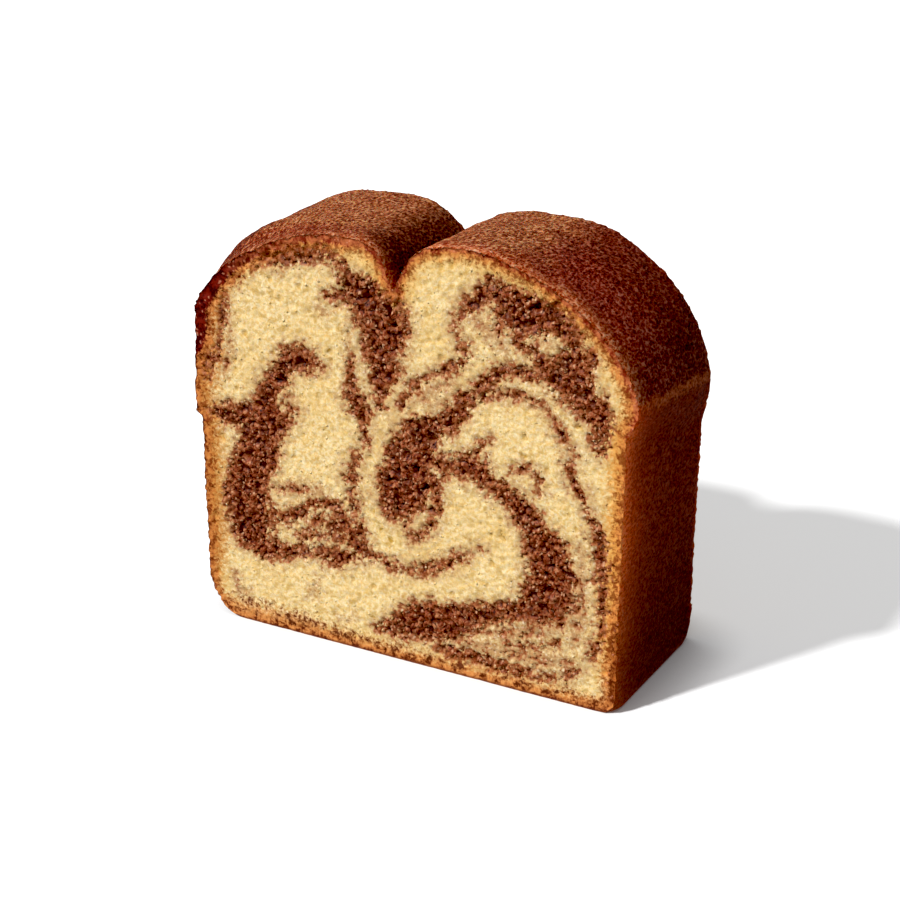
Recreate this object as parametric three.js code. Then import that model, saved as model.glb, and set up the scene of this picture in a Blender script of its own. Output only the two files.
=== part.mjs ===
// A thick slice from the middle of a marble loaf cake, baked in a tin about 100 mm wide.
// X runs across the loaf, Y along it and Z up. Both ends are flat cuts, and the base is flat.
// The top rose over the tin in two domes with a cleft between them, and each side carries a lip
// where the rising batter spread over the tin's rim. Sizes are in millimetres.
import * as THREE from "three";

// Driving dimensions. A pair holds the value at the front cut and the value at the back cut.
const slice = { length: 38.9, stations: 19 };

// The sides and base edges that the tin shaped. The loaf leans out a little upwards. The right base
// edge is crisp in the tin and crumbles off rounder at the two cuts.
const tin = {
  halfWidth: 48.2,
  leanPerSide: 0.4,
  leanHeight: 60,
  cornerPower: 2.2,
  leftCorner: { across: 9, up: 10 },
  rightCorner: { across: 0.7, up: 0.8 },
  crumbledCorner: { across: 3.6, up: 4.2 },
  crumbledLength: 3.5,
};

// A dome: its crown, the shoulder where its outer flank turns upright, and the lip below that.
// power shapes the outer flank as a superellipse, and innerPower the drop into the cleft.
const leftDome = {
  crownX: [-18, -22.5],
  crownZ: [89.4, 88.3],
  shoulderX: [-49.3, -49.6],
  shoulderZ: [69.5, 65],
  power: [1.47, 2.35],
  innerPower: [6, 3],
  lipX: [-50.1, -50],
  lipTop: [49, 52],
  lipBottom: [41.5, 44],
};
const rightDome = {
  crownX: [14, 17],
  crownZ: [90.9, 88.6],
  shoulderX: [51.2, 50],
  shoulderZ: [65.2, 58],
  power: [1.67, 1.92],
  innerPower: [4, 4.2],
  lipX: [51.2, 50],
  lipTop: [64.6, 57],
  lipBottom: [57.5, 48],
};
const cleft = { x: [-1.7, -4.6], z: [79.9, 80.2] };

// The left shoulder fills out within this distance of the front cut.
const shoulderFill = 14;

// Slow swells of the baked surface, none at the base and full size on the domes.
const swell = { from: 12, full: 60 };
// across, along and up are radians for each millimetre.
const swells = [
  { height: 0.16, across: 0.19, along: 0.16, up: 0.1, phase: 0.6 },
  { height: 0.1, across: 0.41, along: -0.27, up: 0.2, phase: 2.1 },
  { height: 0.06, across: 0.73, along: 0.52, up: 0.37, phase: 4.4 },
];

// How many steps each stretch of the outline has.
const steps = { base: 12, corner: 8, wall: 9, lip: 7, side: 4, flank: 28, inner: 16 };

const crust = { color: 0x6b3015, roughness: 0.8, metalness: 0 };

const { lerp, smoothstep } = THREE.MathUtils;

// All values of a dome, or of the cleft, at a share t of the way along the slice.
function valuesAt(pairs, t) {
  const values = {};
  for (const [name, pair] of Object.entries(pairs)) values[name] = lerp(pair[0], pair[1], t);
  return values;
}

// Half the loaf's width between the tin's walls at height z.
function wallAt(z) {
  return tin.halfWidth + tin.leanPerSide * Math.min(z / tin.leanHeight, 1);
}

// Points of a stretch: count steps of a function of 0 to 1, without the last point.
function stretch(count, pointAt) {
  return Array.from({ length: count }, (_, i) => pointAt(i / count));
}

// The right base edge, rounder towards the nearer cut.
function rightCornerAt(y) {
  const inside = smoothstep(Math.min(y, slice.length - y), 0, tin.crumbledLength);
  return {
    across: lerp(tin.crumbledCorner.across, tin.rightCorner.across, inside),
    up: lerp(tin.crumbledCorner.up, tin.rightCorner.up, inside),
  };
}

// A rounded base edge. side is -1 for the left and 1 for the right, and the points run upwards.
function baseEdge(side, corner) {
  const centreX = wallAt(corner.up) - corner.across;
  return stretch(steps.corner, (s) => {
    const angle = (s * Math.PI) / 2;
    const x = Math.sin(angle) ** (2 / tin.cornerPower);
    const z = Math.cos(angle) ** (2 / tin.cornerPower);
    return new THREE.Vector2(side * (centreX + corner.across * x), corner.up * (1 - z));
  });
}

// The straight wall, the lip's curl out from it, and the upright side up to the shoulder.
function flankUpwards(side, corner, dome) {
  const wall = stretch(steps.wall, (s) => {
    const z = lerp(corner.up, dome.lipBottom, s);
    return new THREE.Vector2(side * wallAt(z), z);
  });
  const lip = stretch(steps.lip, (s) => {
    const z = lerp(dome.lipBottom, dome.lipTop, s);
    return new THREE.Vector2(lerp(side * wallAt(z), dome.lipX, smoothstep(s, 0, 1)), z);
  });
  const upright = stretch(steps.side, (s) => {
    const z = lerp(dome.lipTop, dome.shoulderZ, s);
    return new THREE.Vector2(lerp(dome.lipX, dome.shoulderX, smoothstep(s, 0, 1)), z);
  });
  return [...wall, ...lip, ...upright];
}

// The outer flank from the shoulder up to the crown, a quarter of a superellipse.
function outerFlank(dome) {
  return stretch(steps.flank, (s) => {
    const angle = (s * Math.PI) / 2;
    const out = Math.cos(angle) ** (2 / dome.power);
    const up = Math.sin(angle) ** (2 / dome.power);
    return new THREE.Vector2(
      lerp(dome.crownX, dome.shoulderX, out),
      lerp(dome.shoulderZ, dome.crownZ, up),
    );
  });
}

// The inner flank from the crown down into the cleft, with its steps closer near the cleft.
function innerFlank(dome, bottom) {
  return stretch(steps.inner, (s) => {
    const across = Math.sin((s * Math.PI) / 2);
    return new THREE.Vector2(
      lerp(dome.crownX, bottom.x, across),
      lerp(dome.crownZ, bottom.z, across ** dome.innerPower),
    );
  });
}

// The lift of the surface's swells at a point of the outline.
function swellAt(x, y, z) {
  const wave = ({ height, across, along, up, phase }) =>
    height * Math.sin(across * x + along * y + up * z + phase);
  const lift = swells.reduce((sum, each) => sum + wave(each), 0);
  return lift * smoothstep(z, swell.from, swell.full);
}

// One cross-section, anticlockwise from the left end of the flat base. y is counted from the front cut.
function sectionAt(y) {
  const t = y / slice.length;
  const left = valuesAt(leftDome, t);
  left.power = lerp(...leftDome.power, smoothstep(y, 0, shoulderFill));
  const right = valuesAt(rightDome, t);
  const bottom = valuesAt(cleft, t);
  const corner = rightCornerAt(y);
  const baseLeft = tin.leftCorner.across - wallAt(tin.leftCorner.up);
  const baseRight = wallAt(corner.up) - corner.across;
  const base = stretch(steps.base, (s) => new THREE.Vector2(lerp(baseLeft, baseRight, s), 0));
  const rightHalf = [
    ...baseEdge(1, corner),
    ...flankUpwards(1, corner, right),
    ...outerFlank(right),
    ...innerFlank(right, bottom),
  ];
  const leftHalf = [
    ...baseEdge(-1, tin.leftCorner).slice(1),
    ...flankUpwards(-1, tin.leftCorner, left),
    ...outerFlank(left),
    ...innerFlank(left, bottom),
    new THREE.Vector2(bottom.x, bottom.z),
  ];
  const outline = [...base, ...rightHalf, ...leftHalf.reverse()];
  const middle = new THREE.Vector2(0, wallAt(0));
  return outline.map((point) => {
    const outward = point.clone().sub(middle).normalize();
    return point.addScaledVector(outward, swellAt(point.x, y, point.y));
  });
}

// A closed skin through equal-length sections, capped by a flat face at each end.
function loft(sections, yOf) {
  const around = sections[0].length;
  const positions = sections.flatMap((section, j) => section.flatMap((p) => [p.x, yOf(j), p.y]));
  const index = [];
  for (let j = 0; j + 1 < sections.length; j++) {
    for (let i = 0; i < around; i++) {
      const next = (i + 1) % around;
      const [a, b] = [j * around + i, j * around + next];
      index.push(a, a + around, b, b, a + around, b + around);
    }
  }
  const last = (sections.length - 1) * around;
  for (const [a, b, c] of THREE.ShapeUtils.triangulateShape(sections[0], [])) index.push(a, b, c);
  for (const [a, b, c] of THREE.ShapeUtils.triangulateShape(sections.at(-1), [])) {
    index.push(last + a, last + c, last + b);
  }
  const geometry = new THREE.BufferGeometry();
  geometry.setAttribute("position", new THREE.Float32BufferAttribute(positions, 3));
  geometry.setIndex(index);
  return geometry;
}

function marbleLoafSlice() {
  const spacing = slice.length / (slice.stations - 1);
  const sections = Array.from({ length: slice.stations }, (_, j) => sectionAt(j * spacing));
  const geometry = loft(sections, (j) => j * spacing);
  // The origin is the middle of the bounding box's underside.
  geometry.computeBoundingBox();
  const { min, max } = geometry.boundingBox;
  geometry.translate(-(min.x + max.x) / 2, -(min.y + max.y) / 2, -min.z);
  geometry.computeVertexNormals();
  const mesh = new THREE.Mesh(geometry, new THREE.MeshStandardMaterial(crust));
  mesh.name = "marble_loaf_slice";
  return mesh;
}

const cake = new THREE.Group();
cake.add(marbleLoafSlice());

export default cake;
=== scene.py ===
import math
import bmesh
import bpy
import numpy as np
from functools import partial
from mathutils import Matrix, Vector, geometry


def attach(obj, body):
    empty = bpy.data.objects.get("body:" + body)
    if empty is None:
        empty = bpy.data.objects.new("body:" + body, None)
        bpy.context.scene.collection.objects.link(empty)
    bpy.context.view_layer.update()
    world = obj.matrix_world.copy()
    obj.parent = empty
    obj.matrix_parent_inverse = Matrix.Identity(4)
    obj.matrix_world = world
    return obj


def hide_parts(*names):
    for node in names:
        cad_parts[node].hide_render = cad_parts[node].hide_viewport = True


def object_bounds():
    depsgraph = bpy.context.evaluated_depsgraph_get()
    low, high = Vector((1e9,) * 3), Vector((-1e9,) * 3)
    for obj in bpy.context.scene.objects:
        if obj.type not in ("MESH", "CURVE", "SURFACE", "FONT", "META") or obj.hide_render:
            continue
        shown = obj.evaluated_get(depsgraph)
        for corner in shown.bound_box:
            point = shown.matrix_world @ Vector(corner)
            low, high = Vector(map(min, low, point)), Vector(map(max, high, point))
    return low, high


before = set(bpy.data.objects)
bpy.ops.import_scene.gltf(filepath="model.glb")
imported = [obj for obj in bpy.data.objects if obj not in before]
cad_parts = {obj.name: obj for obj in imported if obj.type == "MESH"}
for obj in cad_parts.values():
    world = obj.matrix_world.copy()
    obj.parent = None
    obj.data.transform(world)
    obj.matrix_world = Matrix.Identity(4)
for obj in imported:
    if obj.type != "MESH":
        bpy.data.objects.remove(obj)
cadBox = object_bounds()
scene = bpy.context.scene
mm = 0.001


# Small helpers: colours, nodes, curves and progress notes.

def linearColour(hexText):
    # sRGB hex to the linear values that colour sockets take
    parts = [int(hexText[i:i + 2], 16) / 255 for i in (1, 3, 5)]
    return tuple(c / 12.92 if c <= 0.04045 else ((c + 0.055) / 1.055) ** 2.4 for c in parts) + (1.0,)


def addNode(tree, kind, *inputs, **named):
    # plain inputs fill the node's own in their order; a name, or i0, i1 and so on, picks one of them
    # an input is a number, a colour, a socket, or a node whose first live output is taken
    # names in small letters are the node's settings, but size is a texture's real size in mm
    # a second word of the kind is the node's operation
    kind, *operation = kind.split()
    node = tree.nodes.new(kind if "Node" in kind else "ShaderNode" + kind)
    for name in operation:
        node.operation = name
    given = dict(enumerate(inputs))
    for name, value in named.items():
        if name[0] == "i" and name[1:].isdigit():
            given[int(name[1:])] = value
        elif name == "size":
            given["Scale"] = 1 / (value * mm)
        elif name[0].isupper():
            given[name.replace("_", " ")] = value
        else:
            setattr(node, name, value)
    for name, value in given.items():
        if isinstance(value, bpy.types.Node):
            value = next(out for out in value.outputs if out.enabled)
        if isinstance(value, bpy.types.NodeSocket):
            tree.links.new(value, node.inputs[name])
        else:
            node.inputs[name].default_value = value
    return node


eased = {"interpolation_type": "SMOOTHSTEP"}  # for a MapRange without corners


def addObject(name, data):
    thing = bpy.data.objects.new(name, data)
    scene.collection.objects.link(thing)
    return thing


def newMaterial(name):
    material = bpy.data.materials.new(name)
    material.use_nodes = True
    material.node_tree.nodes.clear()
    return material, partial(addNode, material.node_tree)


def newTree(name, sizes, attributes):
    # a geometry tree with an input for each size, and nodes that read the mesh's attributes
    tree = bpy.data.node_groups.new(name, "GeometryNodeTree")
    for way in ("INPUT", "OUTPUT"):
        tree.interface.new_socket("Geometry", in_out=way, socket_type="NodeSocketGeometry")
    for size in sizes:
        kind = "NodeSocketInt" if size == "Seed" else "NodeSocketFloat"
        tree.interface.new_socket(size, in_out="INPUT", socket_type=kind)
    add = partial(addNode, tree)
    read = [add("GeometryNodeInputNamedAttribute", Name=each, data_type="FLOAT") for each in attributes]
    return tree, add, add("NodeGroupInput").outputs, read


def coated(add, shades, colour, *coats):
    # a colour under coats of others, each with the share that it covers; text names one of the shades
    def pick(one):
        return shades[one] if isinstance(one, str) else one
    colour = pick(colour)
    for share, coat in coats:
        colour = add("Mix", data_type="RGBA", i0=share, i6=colour, i7=pick(coat))
    return colour


def span(pair):
    # a pair of mm as metres
    return [value * mm for value in pair]


def report(stage, thing=""):
    print("[cake]", stage, thing)


def smoothStep(value, low, high):
    t = np.clip((value - low) / (high - low), 0, 1)
    return t * t * (3 - 2 * t)


def smoothThrough(knots, values, at):
    # a smooth curve through values at uneven knots, read off at new places
    slopes = np.gradient(values, knots, axis=0)
    i = np.clip(np.searchsorted(knots, at, side="right") - 1, 0, len(knots) - 2)
    step = (knots[i + 1] - knots[i]).reshape((-1,) + (1,) * (values.ndim - 1))
    t = (at - knots[i]).reshape(step.shape) / step
    return ((1 + 2 * t) * (1 - t) ** 2 * values[i] + t * (1 - t) ** 2 * step * slopes[i]
            + t * t * (3 - 2 * t) * values[i + 1] + t * t * (t - 1) * step * slopes[i + 1])


# The slice's skin, read from the fixed frame and made finer.

loafSlice = {
    "node": "marble_loaf_slice",
    "middle": (-2.0, 45.0),  # mm, a point of the section that sees its whole outline
    "skinStep": 0.66,  # mm between points round the crust
    "alongStep": 0.66,  # mm between points along the crust
    "frontStep": 0.45,  # mm between points on the front cut
    "backStep": 0.74,  # mm between points on the back cut
    "stray": 0.22,  # share of a step that a point of a cut strays
    "inset": 0.3,  # mm that the cuts lie inside the frame's ends, room for crumbs
    "sink": 0.03,  # mm that the crust lies inside the frame
    "crumble": 0.45,  # mm, the most that crumbled off the edge of a cut
    "lip": 1.5,  # mm that the left side juts out over the wall
    "lipBlunt": ((41.5, 49), (44, 52)),  # mm up, where the frame's lip begins and ends, front and back
    "lipSharp": ((44.4, 46.4), (47, 49)),  # the same for the baked lip
    "belly": 0.35,  # mm that the left wall bellies under its lip
    "bellyFoot": (3, 10),  # mm up, where the belly begins and is full
    "bellyTop": (38, 30),  # mm up, the same from above
    "seed": 11,
}


def trimRing(ring, count):
    # takes out the points closest to both neighbours, which the frame added on short edges
    while len(ring) > count:
        gap = np.hypot(*(ring - np.roll(ring, 1, axis=0)).T)
        ring = np.delete(ring, np.argmin(gap + np.roll(gap, -1)), axis=0)
    return ring


def sectionRings(name):
    # the frame's solid is a loft, so its points lie in rings of equal count, one for each Y
    solid = bmesh.new()
    solid.from_mesh(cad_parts[name].data)
    bmesh.ops.remove_doubles(solid, verts=solid.verts, dist=1e-6)
    points = np.array([v.co for v in solid.verts]) / mm
    solid.free()
    middleX, middleZ = loafSlice["middle"]
    stations = np.unique(points[:, 1].round(2))
    rings = []
    for y in stations:
        ring = points[abs(points[:, 1] - y) < 0.05]
        turn = np.arctan2(ring[:, 0] - middleX, ring[:, 2] - middleZ)
        rings.append(ring[np.argsort(turn)][:, [0, 2]])
    count = min(len(ring) for ring in rings)
    return stations, np.array([trimRing(ring, count) for ring in rings])


def fineRings(random):
    stations, rings = sectionRings(loafSlice["node"])
    ends = stations[0] + loafSlice["inset"], stations[-1] - loafSlice["inset"]
    ys = np.linspace(*ends, round((ends[1] - ends[0]) / loafSlice["alongStep"]) + 1)
    rings = smoothThrough(stations, rings, ys)
    closed = np.concatenate([rings[:, -3:], rings, rings[:, :4]], axis=1)
    run = np.concatenate([[0], np.cumsum(np.hypot(*np.diff(closed.mean(axis=0), axis=0).T))])
    start, end = run[3], run[3 + rings.shape[1]]
    count = round((end - start) / loafSlice["skinStep"])
    at = start + (end - start) * np.arange(count) / count
    fine = smoothThrough(run, closed.transpose(1, 0, 2), at).transpose(1, 0, 2)
    # the lip on the left is sharper than the frame's
    t = np.linspace(0, 1, len(ys))[:, None]
    blunt, sharp = ([low + t * (high - low) for low, high in zip(*loafSlice[name])]
                    for name in ("lipBlunt", "lipSharp"))
    jut = smoothStep(fine[..., 1], *sharp) - smoothStep(fine[..., 1], *blunt)
    # and under it the wall bellies a little
    belly = loafSlice["belly"]
    for name in ("bellyFoot", "bellyTop"):
        belly = belly * smoothStep(fine[..., 1], *loafSlice[name])
    fine[..., 0] -= (loafSlice["lip"] * jut + belly) * (fine[..., 0] < -40)
    # the crust sinks in a little from the frame, but not the face that it rests on
    tangent = np.roll(fine, -1, axis=1) - np.roll(fine, 1, axis=1)
    inward = np.stack([tangent[..., 1], -tangent[..., 0]], axis=-1)
    inward /= np.linalg.norm(inward, axis=-1, keepdims=True)
    fine = fine + inward * loafSlice["sink"] * smoothStep(fine[..., 1:], 0, 3)
    # the edges of the cuts crumbled off a little, but not at the base
    worn = loafSlice["crumble"] * smoothStep(fine[[0, -1], :, 1:], 0, 4)
    worn = worn * random.uniform(0.1, 1, (2, count, 2)) ** 2
    fine[[0, -1]] += inward[[0, -1]] * worn[..., :1]
    fine[[1, -2]] += inward[[1, -2]] * loafSlice["crumble"] * 0.1
    fine[..., 1] = np.maximum(fine[..., 1], 0)
    ringY = np.repeat(ys[:, None], count, axis=1)
    ringY[0] += worn[0, :, 1]
    ringY[-1] -= worn[1, :, 1]
    return ys, ringY, fine


def distanceToPath(points, path, closed=False):
    # for each point, how far the path's nearest stretch is, with the path's width there
    path = np.asarray(path, float)
    ends = np.roll(path, -1, axis=0) if closed else path[1:]
    starts = path if closed else path[:-1]
    best = np.full(len(points), 1e9)
    for a, b in zip(starts, ends):
        side = b[:2] - a[:2]
        t = np.clip((points - a[:2]) @ side / max(side @ side, 1e-9), 0, 1)
        away = np.hypot(*(points - a[:2] - t[:, None] * side).T)
        if len(a) == 3:
            away = away - (a[2] + t * (b[2] - a[2])) / 2
        best = np.minimum(best, away)
    return best


def fillCut(outline, step, random):
    # points spread evenly over a cut, and triangles between them and the outline
    low, high = outline.min(axis=0), outline.max(axis=0)
    rows = np.arange(low[1], high[1], step * math.sqrt(0.75))
    columns = np.arange(low[0], high[0], step)
    x, z = np.meshgrid(columns, rows)
    x[1::2] += step / 2
    inner = np.stack([x.ravel(), z.ravel()], axis=1)
    inner += random.uniform(-1, 1, inner.shape) * step * loafSlice["stray"]
    away = outline - loafSlice["middle"]
    turn = np.arctan2(away[:, 0], away[:, 1])
    order = np.argsort(turn)
    offset = inner - loafSlice["middle"]
    reach = np.interp(np.arctan2(offset[:, 0], offset[:, 1]), turn[order], np.hypot(*away[order].T),
                      period=2 * math.pi)
    inner = inner[np.hypot(*offset.T) < reach]
    rim = distanceToPath(inner, outline, closed=True)
    inner, rim = inner[rim > step * 0.6], rim[rim > step * 0.6]
    points = np.concatenate([outline, inner])
    count = len(outline)
    edges = [(i, (i + 1) % count) for i in range(count)]
    made = geometry.delaunay_2d_cdt([Vector(p) for p in points], edges, [list(range(count))], 1, 1e-5)
    known = [sources[0] for sources in made[3]]
    faces = np.array([[known[i] for i in face] for face in made[2]])
    a, b, c = (points[faces[:, i]] for i in range(3))
    turned = np.cross(b - a, c - a) < 0
    faces[turned] = faces[turned][:, ::-1]  # all anticlockwise, seen from the front
    return inner, rim, faces


# The cocoa batter on a cut, as ribbons: places and widths in mm.

ribbons = {
    "leftCap": [(-35.5, 80.3, 1.5), (-33, 82, 3), (-28, 83.2, 4.2), (-21, 84.8, 3.6), (-17.5, 85.2, 3.2),
        (-15, 84.2, 3), (-12.5, 82, 3.5), (-13, 80.5, 4)],
    "middle": [(-13, 80.5, 4), (-10, 78.8, 7), (-7.2, 76.8, 10.5), (-5.6, 74.5, 12), (-5, 72, 11.6),
        (-4.9, 69.5, 11), (-4.6, 67, 9.6), (-4.5, 64.5, 8.6), (-4.9, 62, 7.2), (-5.2, 60, 5.4),
        (-5.4, 57, 3.4), (-5.6, 54.5, 1.6)],
    "middleSpur": [(-5, 79.5, 3), (-2.5, 78, 4.5), (-0.5, 76.5, 3.6), (0.8, 74, 2.5), (0.4, 72, 2)],
    "middlePatch": [(-17, 76.8, 2.2), (-15, 77, 3.6), (-13, 77.5, 4.8)],
    "thread": [(-12.5, 64.5, 1), (-12.3, 62.5, 1.2), (-11.8, 59, 2.5), (-11.2, 56, 5), (-9.8, 53.2, 4),
        (-9.2, 49.5, 2), (-8.8, 46, 1.8), (-10.5, 44.5, 2), (-12, 40.5, 3), (-12.5, 39, 3.4),
        (-12, 36, 1.6), (-12.1, 34, 2), (-11.5, 30, 2.6), (-11, 27, 3), (-9.3, 24, 2.6)],
    "leftHook": [(-20, 61.8, 3), (-22.5, 62.2, 5), (-25, 62, 6.4), (-27.3, 60.5, 6.4), (-29, 58.2, 6),
        (-30.8, 55.8, 5.6), (-32.6, 51.8, 6.6), (-32, 48.5, 8.4), (-31.8, 45, 7)],
    "leftHookSpur": [(-25.7, 51, 1.4), (-27.5, 50, 3), (-28.6, 48.5, 4), (-29.5, 46, 4)],
    "leftArm": [(-46.5, 46.3, 2.4), (-44.5, 47, 4.2), (-40, 47, 6.4), (-35, 47, 7.4), (-32.5, 46.5, 7)],
    "leftSweep": [(-34.8, 44.5, 11), (-35.4, 39.5, 11.4), (-36.8, 36.5, 11.4), (-38.2, 32, 11.4),
        (-38.4, 29.5, 12), (-38.4, 24.5, 12), (-37.6, 22, 10.6), (-36.5, 19.8, 7.4), (-34, 18.2, 6),
        (-28, 18.5, 4), (-22, 20.3, 3.3), (-19.5, 19.8, 3.8), (-17, 19.7, 5), (-14.8, 20.3, 3.8),
        (-10.5, 22.8, 3.5)],
    "sweepInner": [(-33, 29, 1.6), (-32, 26.8, 3.4), (-32.4, 23, 3)],
    "curl": [(-31, 25.5, 3), (-28.5, 26.2, 2.8), (-25.5, 28, 3.4), (-23, 30.3, 2.4), (-20.5, 31.8, 2.2),
        (-17.5, 31.5, 2.5), (-15.3, 29.8, 3), (-14, 27.8, 4), (-11.5, 24, 4.5)],
    "curlInner": [(-22, 27, 2.4), (-18.4, 27.4, 3.6), (-15.5, 26.5, 4.4)],
    "curlFoot": [(-25, 22.8, 2), (-22, 23.6, 3.2), (-18.6, 24.6, 2.6), (-14.5, 24.4, 2.6)],
    "curlRoof": [(-29.5, 32.6, 0.8), (-26, 33.4, 1.5), (-21.5, 33.2, 1.2)],
    "lowArc": [(-9.5, 22.3, 2.6), (-7, 21.8, 2), (-2, 20.9, 2.4), (1, 21.2, 2), (6.5, 22.7, 2.2),
        (11.3, 25.3, 1.9), (15, 28.3, 1.1), (17, 29.6, 0.8)],
    "heart": [(9.5, 54.3, 4), (7.5, 53.3, 5.5), (5, 52, 7), (3, 50, 9), (1.8, 47.8, 10), (0.6, 43, 11),
        (0.2, 40.5, 12), (-0.8, 38, 12), (-1.3, 36, 10), (-1.8, 34.3, 7), (-2.5, 32.8, 3.5)],
    "heartTail": [(5, 40, 3), (7, 39.3, 3), (7.4, 36.5, 2.6), (6.8, 33.5, 2), (4.8, 30.8, 1.8),
        (2.3, 28.3, 2.4)],
    "heartSide": [(4.6, 44.5, 2.6), (6.8, 41.5, 4), (7.4, 38.4, 3.6)],
    "bridge": [(6, 45.6, 2.4), (9, 46, 3.4)],
    "riser": [(10, 55, 4), (11.5, 57, 4.8), (13.5, 59.7, 4.5), (18, 64, 3.3), (22.5, 68, 3.5),
        (27.5, 67.8, 2.6), (30, 68, 3.5)],
    "upperRiser": [(-0.5, 56.5, 1.8), (1.5, 60.7, 1.6), (5.7, 63.8, 1.3), (8, 64.8, 1.4), (12.2, 67.3, 2),
        (13.5, 69.3, 2.2), (14, 71.5, 2), (12.6, 73.5, 1.8), (12.6, 77.5, 2.4), (16, 81, 4),
        (18, 82.8, 4.5), (20, 83.5, 4.5)],
    "rightCap": [(18, 84, 3), (20.5, 83.5, 5), (23, 82.5, 7), (25, 80.5, 9.5), (29, 79.8, 9),
        (31.5, 79.8, 7.5), (34, 79, 6), (36, 77.5, 5), (36.8, 75, 4.5), (37.5, 72.5, 7), (37.5, 70, 8.5),
        (37, 67.5, 8.5), (38.5, 65.3, 7), (41, 63.5, 7), (42.8, 61.5, 5.5), (42.8, 57, 4),
        (42.8, 55.5, 2)],
    "rightCapArm": [(25.5, 76, 4), (26, 73.7, 3.5), (28, 72.2, 3.2), (30.5, 71.2, 4), (33, 69.5, 6),
        (34.5, 67.8, 6)],
    "rightCapStub": [(20.5, 79, 2.5), (21, 76, 2.5)],
    "rightCapBlock": [(40, 71.5, 3), (41, 74, 2.4)],
    "rightCapThorn": [(41, 66.3, 1.6), (43.8, 66.6, 0.8)],
    "thinArc": [(19.5, 62.3, 1.2), (22.5, 63, 1.6), (28.5, 63, 1.2), (31, 61.7, 1), (34.6, 57, 1.4),
        (36.3, 54, 1.5), (37.2, 48.5, 2.4), (40, 44.5, 2), (40.8, 42, 1.6), (43, 37, 3.4),
        (43.4, 34, 3.4), (44.4, 27.5, 2.8), (44, 19.5, 2), (43.3, 13.7, 2), (41.8, 11.3, 1.6)],
    "rightSweep": [(9, 45.5, 3), (11.5, 46, 4), (14, 46.5, 5.5), (16.5, 46, 6), (19, 44, 4.5),
        (24, 41.8, 5.5), (28, 37.7, 6.5), (29.8, 35.3, 7), (31.5, 32.5, 9), (32.8, 29.5, 10.5),
        (33, 23.5, 12), (31.5, 21, 11), (29.5, 18.8, 7), (26, 17.5, 5), (22, 16.3, 5), (18, 15, 5.5),
        (14, 13, 6.8), (10, 11.3, 8.5), (6, 10.5, 9.5), (2.5, 9.5, 8.5), (0, 8.3, 7), (-4.8, 6.2, 3),
        (-7, 5.4, 1.4)],
    "rightSweepHook": [(16.2, 48, 3), (16.5, 50, 2), (17.2, 51.6, 1.6), (19.4, 53, 0.6)],
    "smallHook": [(24, 47, 1), (25.5, 47.7, 1.8), (27.5, 48.6, 2), (29.2, 48, 1.8), (30.3, 44.6, 1.4)],
    "footStreak": [(23.5, 9.8, 1.6), (28.5, 10, 2.6), (31, 11, 2), (35, 12.8, 0.9)],
    "leftRibbon": [(-36.5, 79.6, 1.2), (-38.8, 77.2, 1.2), (-41.2, 74.4, 1.2), (-42.5, 71.2, 1.3),
        (-42.9, 68.4, 1.5), (-43, 65.5, 1.3), (-43.6, 62.5, 1.4), (-44.4, 60.3, 2), (-46.3, 57.8, 3.2),
        (-47, 55.4, 2.4)],
    "footLine": [(8, 5.6, 3), (11, 5, 3.2), (14, 4.7, 3.4), (20, 4.6, 2.8), (26, 4.4, 2.4),
        (35, 4.8, 1.8), (40, 8, 1)],
}

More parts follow.
